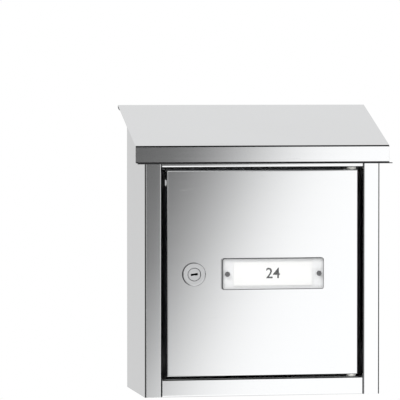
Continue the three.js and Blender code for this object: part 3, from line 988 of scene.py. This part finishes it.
    def base_pan(self) -> None:
        """The floor, folded up in front as a rail and behind as a flange."""
        low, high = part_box("base_pan")
        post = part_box("left_side_panel")[1].x
        half_rail = -post - self.stock.gap
        path = [(low.y + self.rail_return, high.z), (low.y, high.z), (low.y, low.z),
                (high.y, low.z), (high.y, low.z + self.rail_return)]
        bm = folded(path, Axis.X, low.x, high.x)
        floor_end = low.y + self.post_return + self.stock.gap
        rail_end = low.y + self.rail_return + self.stock.gap
        for level in (-half_rail, half_rail):
            slice_at(bm, Axis.X, level)
        slice_at(bm, Axis.Y, floor_end)
        drop_faces(bm, lambda c: abs(c.x) > half_rail and (
            c.y < floor_end or (c.y < rail_end and c.z > low.z + 2 * self.stock.thickness)
        ))
        punch(bm, Axis.Z, high.z, self.pin_centre(), self.pin_hole)
        self.dress(bm, "base_pan", POLISHED_ALONG_X)

    def top_rail(self) -> None:
        """The channel above the door."""
        low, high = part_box("top_front_rail")
        path = [(high.y, high.z), (low.y, high.z), (low.y, low.z), (high.y, low.z)]
        bm = folded(path, Axis.X, low.x, high.x)
        punch(bm, Axis.Z, low.z, self.pin_centre(), self.pin_hole)
        self.dress(bm, "top_front_rail", POLISHED_ALONG_X)

    @staticmethod
    def pin_centre() -> Point2:
        """Where the hinge's axis is, on X and Y."""
        return middle_of("lower_hinge_pin", Axis.Z)

    def hinges(self) -> None:
        """Two headed pins and the two washers that the door turns on."""
        for node, upward in (("lower_hinge_pin", 1), ("upper_hinge_pin", -1)):
            low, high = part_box(node)
            head, tip = (low.z, high.z) if upward > 0 else (high.z, low.z)
            head_radius = (high.x - low.x) / 2
            under = head + upward * self.head_height
            shoulder = tip - upward * self.pin_point
            profile = [(0.0, head), (head_radius, head), (head_radius, under), (self.pin_radius, under),
                       (self.pin_radius, shoulder), (self.pin_radius - self.pin_point, tip), (0.0, tip)]
            publish(turned(Axis.Z, self.pin_centre(), profile), node, ZINC, Body.HOUSING)
        bore = self.pin_radius + self.stock.gap
        for node in ("lower_hinge_washer", "upper_hinge_washer"):
            low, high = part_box(node)
            outer = (high.x - low.x) / 2
            profile = [(bore, low.z), (outer, low.z), (outer, high.z), (bore, high.z)]
            bm = turned(Axis.Z, self.pin_centre(), profile, closed=True)
            publish(bm, node, NYLON, Body.HOUSING)


# ---------------------------------------------------------------- door


@dataclass
class Door:
    """The door, a shallow tray of bent sheet."""

    stock: Stock = STOCK
    edge_radius: float = 1.3 * MM
    lock_hole: float = 8.3 * MM
    screw_hole: float = 1.7 * MM
    pin_hole: float = 2.8 * MM

    def build(self) -> None:
        """Make the tray and punch its holes."""
        low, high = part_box("door")
        bm = open_tray(low, high, -1, self.edge_radius)
        punch(bm, Axis.Y, low.y, middle_of("lock_plug"), self.lock_hole)
        for node in ("name_plate_screw_left", "name_plate_screw_right"):
            punch(bm, Axis.Y, low.y, middle_of(node), self.screw_hole)
        for level in (low.z, high.z):
            punch(bm, Axis.Z, level, Housing.pin_centre(), self.pin_hole)
        publish(bm, "door", POLISHED_ALONG_X, Body.DOOR, wall=self.stock.thickness,
                inside=MILL)


# ---------------------------------------------------------------- lock


@dataclass
class CamLock:
    """A cam lock: bezel and barrel, keyed plug, nut, cam and the screw that holds it."""

    barrel_radius: float = 8 * MM
    bezel_height: float = 2.8 * MM
    bezel_rim: tuple[Point2, ...] = ((1.3 * MM, 0.0), (0.5 * MM, 0.35 * MM), (0.0, 1.1 * MM))
    bore_chamfer: float = 0.3 * MM
    plug_radius: float = 6.4 * MM
    running_gap: float = 0.3 * MM
    keyway: Point2 = (7.4 * MM, 2.2 * MM)
    keyway_depth: float = 7 * MM
    keyway_tilt: float = math.radians(8)
    ward: float = 0.7 * MM
    cam_hub: float = 7.5 * MM
    cam_half: float = 6 * MM
    cam_crown: float = 0.72
    cam_tip: float = 0.98
    shank: float = 7 * MM
    screw_core: float = 1.5 * MM
    screw_head: float = 2.2 * MM
    screw_socket: Point2 = (1.4 * MM, 1.2 * MM)

    def build(self) -> None:
        """Make the whole lock."""
        self.body()
        self.plug()
        self.nut()
        self.cam()
        self.cam_screw()

    def body(self) -> None:
        """The bezel, flat with a rounded rim, and the barrel behind it."""
        low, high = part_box("lock_body")
        bore = self.plug_radius + self.running_gap
        outer = (high.x - low.x) / 2
        back = low.y + self.bezel_height
        rim = [(outer - inset, low.y + drop) for inset, drop in self.bezel_rim]
        profile = [(bore, low.y + self.bore_chamfer), (bore + self.bore_chamfer, low.y), *rim, (outer, back),
                   (self.barrel_radius, back), (self.barrel_radius, high.y), (bore, high.y)]
        bm = turned(Axis.Y, middle_of("lock_body"), profile, closed=True, steps=96)
        piece = publish(bm, "lock_body", NICKEL, Body.DOOR)
        # The bezel's rounded rim and side get the near-black finish: painted shade, a dark outline round the
        # bezel.
        refinish(piece, PAINTED_EDGE_SHADE, lambda face: face.center.y < back and abs(face.normal.y) < 0.85)

    def plug(self) -> None:
        """The plug's face with its warded keyway, its barrel and the shank that drives the cam."""
        low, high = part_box("lock_plug")
        x, z = middle_of("lock_plug")
        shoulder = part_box("lock_cam")[0].y - self.running_gap
        bm = bmesh.new()
        stand = Matrix.Translation((x, low.y, z)) @ Matrix.Rotation(math.pi / 2, 4, "X")
        ring = bmesh.ops.create_circle(bm, cap_ends=False, segments=64, radius=self.plug_radius, matrix=stand)
        outer = list({e for v in ring["verts"] for e in v.link_edges})
        length, width = self.keyway
        outline = [(-length / 2, -width / 2), (-self.ward, -width / 2), (0.0, -width / 2 + self.ward),
                   (self.ward, -width / 2), (length / 2, -width / 2), (length / 2, width / 2),
                   (-length / 2, width / 2)]
        turn = Matrix.Rotation(self.keyway_tilt, 2)
        spots = [turn @ Vector(spot) for spot in outline]
        verts = [bm.verts.new((x + s.x, low.y, z + s.y)) for s in spots]
        inner = [bm.edges.new(pair) for pair in zip(verts, [*verts[1:], verts[0]])]
        bmesh.ops.bridge_loops(bm, edges=[*outer, *inner])
        self.sink(bm, inner, self.keyway_depth)
        self.sink(bm, outer, shoulder - low.y)
        bmesh.ops.recalc_face_normals(bm, faces=bm.faces[:])
        shank = flat_plate(Axis.Y, rectangle((x, z), self.shank, self.shank), shoulder, high.y - shoulder)
        spare = bpy.data.meshes.new("shank")
        shank.to_mesh(spare)
        shank.free()
        bm.from_mesh(spare)
        bpy.data.meshes.remove(spare)
        publish(bm, "lock_plug", NICKEL, Body.LOCK_CORE, edge=0.12 * MM)

    @staticmethod
    def sink(bm: bmesh.types.BMesh, loop: list[bmesh.types.BMEdge], depth: float) -> None:
        """Push a closed loop back into the metal and close its end.

        Args:
            bm: The mesh.
            loop: The loop's edges.
            depth: How far back it goes.
        """
        _, ends = sweep(bm, loop, Axis.Y.vector * depth)
        bmesh.ops.contextual_create(bm, geom=[e for e in ends if e.is_boundary])

    def nut(self) -> None:
        """The hexagon nut behind the door."""
        low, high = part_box("lock_nut")
        x, z = middle_of("lock_nut")
        corner = (high.x - low.x) / 2
        bore = self.barrel_radius + self.running_gap
        bm = turned(Axis.Y, (x, z), [(bore, low.y), (corner, low.y), (corner, high.y), (bore, high.y)],
                    closed=True, steps=48)
        flat = corner * math.cos(math.pi / 6)
        for side in range(6):
            angle = math.pi / 6 + side * math.pi / 3
            out = Vector((math.cos(angle), 0, math.sin(angle)))
            for vert in bm.verts:
                over = (vert.co - Vector((x, 0, z))).dot(out) - flat
                if over > 0:
                    vert.co -= out * over
        bmesh.ops.recalc_face_normals(bm, faces=bm.faces[:])
        publish(bm, "lock_nut", ZINC, Body.DOOR, edge=0.3 * MM)

    def cam(self) -> None:
        """The cam, a round hub that narrows into an arm with a round end."""
        low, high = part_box("lock_cam")
        x, z = middle_of("lock_plug")
        hub, half = self.cam_hub, self.cam_half
        crown = hub * self.cam_crown
        shoulder = z - math.sqrt(hub**2 - half**2)
        corners = [(x - half, low.z), (x + half, low.z), (x + half, shoulder), (x + hub, z),
                   (x + crown, z + hub), (x - crown, z + hub), (x - hub, z), (x - half, shoulder)]
        tip, neck, side, top = half * self.cam_tip, 0.6 * MM, 3 * MM, 3.4 * MM
        radii = (tip, tip, neck, side, top, top, side, neck)
        bm = flat_plate(Axis.Y, corners, low.y, high.y - low.y, radii)
        publish(bm, "lock_cam", ZINC, Body.LOCK_CORE, edge=0.25 * MM)

    def cam_screw(self) -> None:
        """The screw that holds the cam on the plug."""
        low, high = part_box("cam_screw")
        head = (high.x - low.x) / 2
        under = high.y - self.screw_head
        mouth, depth = self.screw_socket
        profile = [(0.0, low.y), (self.screw_core, low.y), (self.screw_core, under), (head, under),
                   (head, high.y - 0.8 * MM), (head - 1.2 * MM, high.y), (mouth, high.y),
                   (0.9 * MM, high.y - depth), (0.0, high.y - depth)]
        bm = turned(Axis.Y, middle_of("cam_screw"), profile)
        publish(bm, "cam_screw", ZINC, Body.LOCK_CORE)


# ---------------------------------------------------------------- name plate


@dataclass
class NamePlate:
    """A clear holder with a card behind it, on a backing, held by two screws."""

    corner: float = 2.2 * MM
    rim: float = 1.3 * MM
    window_margin: float = 1.2 * MM
    rebate: float = 0.5 * MM
    pocket: float = 0.3 * MM
    screw_face: float = 1.9 * MM
    screw_crown: tuple[Point2, ...] = ((0.3 * MM, 0.25 * MM), (0.0, 0.6 * MM))
    screw_head: float = 1.1 * MM
    screw_core: float = 1.4 * MM
    cross: Point2 = (1.5 * MM, 0.35 * MM)
    cross_depth: float = 0.6 * MM
    number: str = "24"
    number_height: float = 15.5 * MM
    number_weight: float = 0.12 * MM
    ink_depth: float = 0.12 * MM

    def build(self) -> None:
        """Make every piece of the name plate."""
        self.backing()
        self.cover()
        self.card()
        self.house_number()
        for node in ("name_plate_screw_left", "name_plate_screw_right"):
            self.screw(node)

    def slab(self, node: str, corner: float) -> bmesh.types.BMesh:
        """A plate with the outline of a node of the frame.

        Args:
            node: The node.
            corner: Of the outline's rounded corners.

        Returns:
            The closed mesh.
        """
        low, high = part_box(node)
        outline = rectangle(middle_of(node), high.x - low.x, high.z - low.z)
        return flat_plate(Axis.Y, outline, high.y, low.y - high.y, [corner] * 4)

    def backing(self) -> None:
        """The moulded backing."""
        bm = self.slab("name_plate_backing", self.corner)
        publish(bm, "name_plate_backing", GREY, Body.DOOR)

    def cover(self) -> None:
        """The clear cover, with a step round its window and a pocket for the card behind."""
        low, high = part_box("name_plate_cover")
        card_low, card_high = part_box("name_card")
        bm = self.slab("name_plate_cover", self.corner)
        rim = [e for f in lying_in(bm, Axis.Y, low.y) for e in f.edges]
        round_off(bm, rim, self.rim, steps=4, clamp=True)
        window = self.card_outline(bm, low.y, self.window_margin)
        bmesh.ops.inset_region(bm, faces=window, thickness=self.rebate, depth=-self.rebate)
        depth = card_high.y - card_low.y + self.pocket
        rear = self.card_outline(bm, high.y, self.pocket)
        swept = bmesh.ops.extrude_face_region(bm, geom=rear)["geom"]
        bmesh.ops.delete(bm, geom=rear, context="FACES_ONLY")
        moved = [g for g in swept if isinstance(g, bmesh.types.BMVert)]
        bmesh.ops.translate(bm, verts=moved, vec=(0, -depth, 0))
        bmesh.ops.recalc_face_normals(bm, faces=bm.faces[:])
        piece = publish(bm, "name_plate_cover", ACRYLIC, Body.DOOR, edge=0.1 * MM)
        x, z = middle_of("name_card")
        half_width, half_height = self.half_card(self.window_margin + self.rebate)
        # The cover's outer edges are painted dark and nearly opaque: painted shade for the dark outline their
        # refraction gives.
        refinish(piece, ACRYLIC_EDGE_PAINTED_SHADE, lambda face: abs(face.normal.y) < 0.97 and (
            abs(face.center.x - x) > half_width or abs(face.center.z - z) > half_height
        ))

    @staticmethod
    def half_card(margin: float) -> Point2:
        """Half the card's width and height, with a margin."""
        low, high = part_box("name_card")
        return (high.x - low.x) / 2 + margin, (high.z - low.z) / 2 + margin

    def card_outline(self, bm: bmesh.types.BMesh, level: float, margin: float) -> list[bmesh.types.BMFace]:
        """Cut the card's outline into a flat face.

        Args:
            bm: The mesh.
            level: Where the flat face is along Y.
            margin: How far outside the card the outline lies.

        Returns:
            The faces inside the outline.
        """
        limits = list(zip((Axis.X, Axis.Z), middle_of("name_card"), self.half_card(margin)))
        for axis, centre, half in limits:
            for side in (-1, 1):
                slice_at(bm, axis, centre + side * half, lying_in(bm, Axis.Y, level))
        return [f for f in lying_in(bm, Axis.Y, level) if all(
            abs(f.calc_center_median()[axis.value] - centre) < half for axis, centre, half in limits
        )]

    def card(self) -> None:
        """The white card."""
        publish(self.slab("name_card", 0.3 * MM), "name_card", CARD, Body.DOOR, edge=0.08 * MM)

    def house_number(self) -> None:
        """The house number printed on the card, as a thin raised ink."""
        low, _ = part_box("name_card")
        x, z = middle_of("name_card")
        curve = bpy.data.curves.new("house_number", "FONT")
        curve.body = self.number
        curve.align_x = "CENTER"
        curve.align_y = "CENTER"
        curve.size = self.number_height
        curve.extrude = self.ink_depth / 2
        curve.offset = self.number_weight
        written = bpy.data.objects.new("house_number_draft", curve)
        bpy.context.scene.collection.objects.link(written)
        bpy.context.view_layer.update()
        mesh = bpy.data.meshes.new_from_object(written.evaluated_get(bpy.context.evaluated_depsgraph_get()))
        bpy.data.objects.remove(written)
        upright = Matrix.Rotation(math.pi / 2, 4, "X")
        mesh.transform(Matrix.Translation((x, low.y - self.ink_depth / 2, z)) @ upright)
        bm = bmesh.new()
        bm.from_mesh(mesh)
        bmesh.ops.remove_doubles(bm, verts=bm.verts[:], dist=1e-7)
        flats = [f for f in bm.faces if abs(f.normal.y) > 0.99]
        bmesh.ops.dissolve_limit(bm, angle_limit=math.radians(0.5), verts=[],
                                 edges=list({e for f in flats for e in f.edges}))
        bmesh.ops.recalc_face_normals(bm, faces=bm.faces[:])
        publish(bm, "house_number", INK, Body.DOOR, edge=0.0, replaces=False)

    def screw(self, node: str) -> None:
        """A round-headed screw with a cross recess.

        Args:
            node: The screw's node.
        """
        low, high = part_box(node)
        x, z = middle_of(node)
        head = (high.x - low.x) / 2
        under = low.y + self.screw_head
        core = self.screw_core
        crown = [(head - inset, low.y + drop) for inset, drop in self.screw_crown]
        bm = turned(Axis.Y, (x, z), [(self.screw_face, low.y), *crown, (head, under), (core, under),
                                     (core, high.y), (0.0, high.y)], steps=48)
        edge = [e for e in bm.edges if e.is_boundary]
        long, narrow = self.cross
        corner = [(long, narrow), (narrow, narrow), (narrow, long)]
        cross = []
        for quarter in range(4):
            turn = Matrix.Rotation(quarter * math.pi / 2, 2)
            cross += [turn @ Vector(spot) for spot in corner]
        verts = [bm.verts.new((x + s.x, low.y, z + s.y)) for s in cross]
        loop = [bm.edges.new(pair) for pair in zip(verts, [*verts[1:], verts[0]])]
        bmesh.ops.bridge_loops(bm, edges=[*edge, *loop])
        CamLock.sink(bm, loop, self.cross_depth)
        bmesh.ops.recalc_face_normals(bm, faces=bm.faces[:])
        publish(bm, node, DULLED, Body.DOOR, edge=0.06 * MM)


# ---------------------------------------------------------------- letter plate


@dataclass
class LetterPlate:
    """The plate on the street side: a frame with a collar into the slot, and a hinged flap."""

    stock: Stock = STOCK
    depth: float = 6 * MM
    edge_radius: float = 1.2 * MM
    border: float = 7.2 * MM
    mouth_height: float = 30.4 * MM
    mouth_below_top: float = 11.6 * MM
    fold_line: float = 3.2 * MM
    fold_depth: float = 0.4 * MM
    finger_lip: float = 4.5 * MM
    eye_bore: float = 1.35 * MM
    eye_radius: float = 2 * MM

    def build(self) -> None:
        """Make the frame, the pin and the flap."""
        self.frame_tray()
        self.pin()
        self.flap()

    def frame_tray(self) -> None:
        """The frame's tray, its fold line, and the collar behind the mouth."""
        low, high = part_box("letter_plate_frame")
        bm = open_tray(Vector((low.x, high.y - self.depth, low.z)), high, 1, self.edge_radius)
        top = high.z - self.mouth_below_top
        bottom = top - self.mouth_height
        half = high.x - self.border
        for axis, levels in ((Axis.Z, (bottom, top)), (Axis.X, (-half, half))):
            for level in levels:
                slice_at(bm, axis, level, lying_in(bm, Axis.Y, high.y))
        drop_faces(bm, lambda c: abs(c.y - high.y) < NEAR and abs(c.x) < half and bottom < c.z < top)
        crease = low.z + self.fold_line
        for level in (crease - self.fold_depth, crease, crease + self.fold_depth):
            slice_at(bm, Axis.Z, level, lying_in(bm, Axis.Y, high.y))
        for vert in bm.verts:
            if abs(vert.co.z - crease) < NEAR and abs(vert.co.y - high.y) < NEAR:
                vert.co.y -= self.fold_depth
        mouth = [e for e in bm.edges if e.is_boundary and all(
            abs(v.co.y - high.y) < NEAR and abs(v.co.x) < half + NEAR for v in e.verts
        )]
        sweep(bm, mouth, Axis.Y.vector * (low.y - high.y))
        face_towards(bm, Axis.Y, high.y, 1)
        publish(bm, "letter_plate_frame", SATIN, Body.HOUSING, wall=self.stock.thickness)

    def pin(self) -> None:
        """The pin that the flap hangs on."""
        low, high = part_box("letter_flap_pin")
        centre = middle_of("letter_flap_pin", Axis.X)
        radius = (high.z - low.z) / 2
        profile = [(0.0, low.x), (radius, low.x), (radius, high.x), (0.0, high.x)]
        bm = turned(Axis.X, centre, profile, steps=32)
        publish(bm, "letter_flap_pin", ZINC, Body.HOUSING)

    def flap(self) -> None:
        """The flap, its bottom edge bent out for the fingers, with an eye rolled at its top."""
        low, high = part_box("letter_flap")
        y, z = middle_of("letter_flap_pin", Axis.X)
        face = y + self.eye_radius
        bottom = low.z + self.stock.thickness
        path = [(face + self.finger_lip, bottom), (face, bottom + self.stock.thickness), (face, z)]
        bm = folded(path, Axis.X, low.x, high.x)
        bmesh.ops.solidify(bm, geom=bm.faces[:], thickness=self.stock.thickness)
        turned(Axis.X, (y, z), [(self.eye_bore, low.x), (self.eye_radius, low.x),
                                (self.eye_radius, high.x), (self.eye_bore, high.x)],
               closed=True, steps=32, into=bm)
        publish(bm, "letter_flap", SATIN, Body.FLAP)


# ---------------------------------------------------------------- studio


FRONT_LIGHT: tuple[Step, ...] = ((0.163, 0.217, 0.17, 1.62), (0.0, 0.1, 0.45, 0.0), (-0.8, -0.3, 0.3, 0.0),
                                 (0.6, 0.9, 0.0, -0.65))
REAR_LIGHT: tuple[Step, ...] = ((-0.12, 0.05, 0.78, 0.6), (0.12, 0.3, 0.0, 0.75), (-0.34, -0.2, 0.65, 0.0))
FRONT_LEAN = (0.0313, 0.43)
REAR_SHARE = (-0.15, 0.15)
CEILING_SHARE = (0.03, 0.1)
CEILING_LIGHT = 1.05
FLAG_BESIDE = (0.5, 0.6)
FLAG_HEIGHT: Step = (0.1, 0.14, 1.0, 0.0)
FLAG_DROP = 0.05
FLAG_DARKNESS = 0.97
CARD_LEFT = (0.09, 0.13)
CARD_RIGHT: Step = (0.27, 0.31, 1.0, 0.0)
CARD_BACK: Step = (0.4, 0.62, 1.0, 0.0)
CARD_DARKNESS = 1.03


@dataclass
class Studio:
    """The camera, a pale floor, and soft light with a falloff in front, two side flags and a dark card."""

    camera_place: tuple[float, float, float] = (-0.6588, -3.4199, 0.2165)
    yaw: float = math.radians(10.169)
    pitch: float = math.radians(-2.238)
    lens: float = 290.25
    floor_drop: float = 0.2
    floor_size: float = 2.4

    def build(self) -> None:
        """Set up the whole studio."""
        self.camera()
        self.floor()
        self.surround()
        self.key()

    def camera(self) -> None:
        """A long lens, a little left of the middle and a little above it."""
        lens = bpy.data.cameras.new("camera")
        lens.lens = self.lens
        lens.sensor_width = 36.0
        lens.clip_end = 50.0
        camera = bpy.data.objects.new("camera", lens)
        camera.location = self.camera_place
        camera.rotation_euler = (math.pi / 2 + self.pitch, 0, -self.yaw)
        bpy.context.scene.collection.objects.link(camera)
        bpy.context.scene.camera = camera

    def floor(self) -> None:
        """A pale floor below the mailbox."""
        bm = bmesh.new()
        level = CAD_BOX[0][2] - self.floor_drop
        bmesh.ops.create_grid(bm, x_segments=1, y_segments=1, size=self.floor_size / 2,
                              matrix=Matrix.Translation((0, 0, level)))
        mesh = bpy.data.meshes.new("floor")
        bm.to_mesh(mesh)
        bm.free()
        mesh.materials.append(PALE_FLOOR.material())
        floor = bpy.data.objects.new("floor", mesh)
        floor.visible_glossy = False
        bpy.context.scene.collection.objects.link(floor)

    def surround(self) -> None:
        """Light by direction: white behind everything, and what polished steel mirrors."""
        world = bpy.data.worlds.new("studio")
        world.use_nodes = True
        bpy.context.scene.world = world
        bench = NodeBench(world.node_tree)
        place = bench.add("ShaderNodeTexCoord")
        split = bench.add("ShaderNodeSeparateXYZ")
        bench.link(place.outputs["Generated"], split.inputs[0])
        x, y, z = split.outputs
        raised, slant = FRONT_LEAN
        lean = bench.math("MULTIPLY", bench.math("ADD", z, raised), slant)
        front = self.summed(bench, bench.math("SUBTRACT", x, lean), FRONT_LIGHT)
        behind = self.summed(bench, x, REAR_LIGHT)
        level = self.mixed(bench, bench.ramp(y, *REAR_SHARE), front, behind)
        wide = bench.ramp(bench.math("ABSOLUTE", x), *FLAG_BESIDE)
        height = bench.math("ABSOLUTE", bench.math("ADD", z, FLAG_DROP))
        flag = bench.math("MULTIPLY", wide, bench.ramp(height, *FLAG_HEIGHT))
        unflagged = bench.math("SUBTRACT", 1.0, bench.math("MULTIPLY", flag, FLAG_DARKNESS))
        level = bench.math("MULTIPLY", level, unflagged)
        card = bench.math("MULTIPLY", bench.ramp(x, *CARD_LEFT), bench.ramp(x, *CARD_RIGHT))
        card = bench.math("MULTIPLY", card, bench.ramp(y, *CARD_BACK))
        ceiling = bench.math("SUBTRACT", CEILING_LIGHT, bench.math("MULTIPLY", card, CARD_DARKNESS))
        level = self.mixed(bench, bench.ramp(z, *CEILING_SHARE), level, ceiling)
        path = bench.add("ShaderNodeLightPath")
        seen = path.outputs["Is Camera Ray"]
        shown = bench.math("ADD", bench.math("MULTIPLY", level, bench.math("SUBTRACT", 1.0, seen)), seen)
        background = bench.add("ShaderNodeBackground")
        background.inputs["Color"].default_value = (1.0, 1.0, 1.0, 1.0)
        output = bench.add("ShaderNodeOutputWorld")
        bench.link(shown, background.inputs["Strength"])
        bench.link(background.outputs[0], output.inputs["Surface"])
        bpy.context.scene.view_settings.view_transform = "Standard"

    @staticmethod
    def summed(bench: NodeBench, value: bpy.types.NodeSocket, steps: Sequence[Step]) -> bpy.types.NodeSocket:
        """Add several smooth steps over one value.

        Args:
            bench: Where the nodes go.
            value: What is stepped over.
            steps: The steps: low, high, start and end of each.

        Returns:
            Their sum.
        """
        total = bench.ramp(value, *steps[0])
        for step in steps[1:]:
            total = bench.math("ADD", total, bench.ramp(value, *step))
        return total

    @staticmethod
    def mixed(bench: NodeBench, share: bpy.types.NodeSocket, first: bpy.types.NodeSocket,
              second: bpy.types.NodeSocket) -> bpy.types.NodeSocket:
        """Mix two light levels.

        Args:
            bench: Where the nodes go.
            share: 0 for the first, 1 for the second.
            first: The first level.
            second: The second level.

        Returns:
            The mixed level.
        """
        kept = bench.math("MULTIPLY", first, bench.math("SUBTRACT", 1.0, share))
        return bench.math("ADD", kept, bench.math("MULTIPLY", second, share))

    def key(self) -> None:
        """A large soft lamp, above and left of the camera, which polished steel does not mirror."""
        lamp = bpy.data.lights.new("key", "AREA")
        lamp.energy = 26.0
        lamp.size = 1.2
        key = bpy.data.objects.new("key", lamp)
        key.location = (-1.2, -1.8, 1.6)
        key.rotation_euler = Vector(key.location).to_track_quat("Z", "Y").to_euler()
        key.visible_glossy = False
        bpy.context.scene.collection.objects.link(key)


# ---------------------------------------------------------------- the whole mailbox


def main() -> None:
    """Build the studio and every sub-assembly, in order."""
    logging.basicConfig(level=logging.INFO, format="%(message)s")
    for assembly in (Studio(), Housing(), Door(), CamLock(), NamePlate(), LetterPlate()):
        log.info("building %s", type(assembly).__name__)
        assembly.build()


if __name__ == "__main__":
    main()
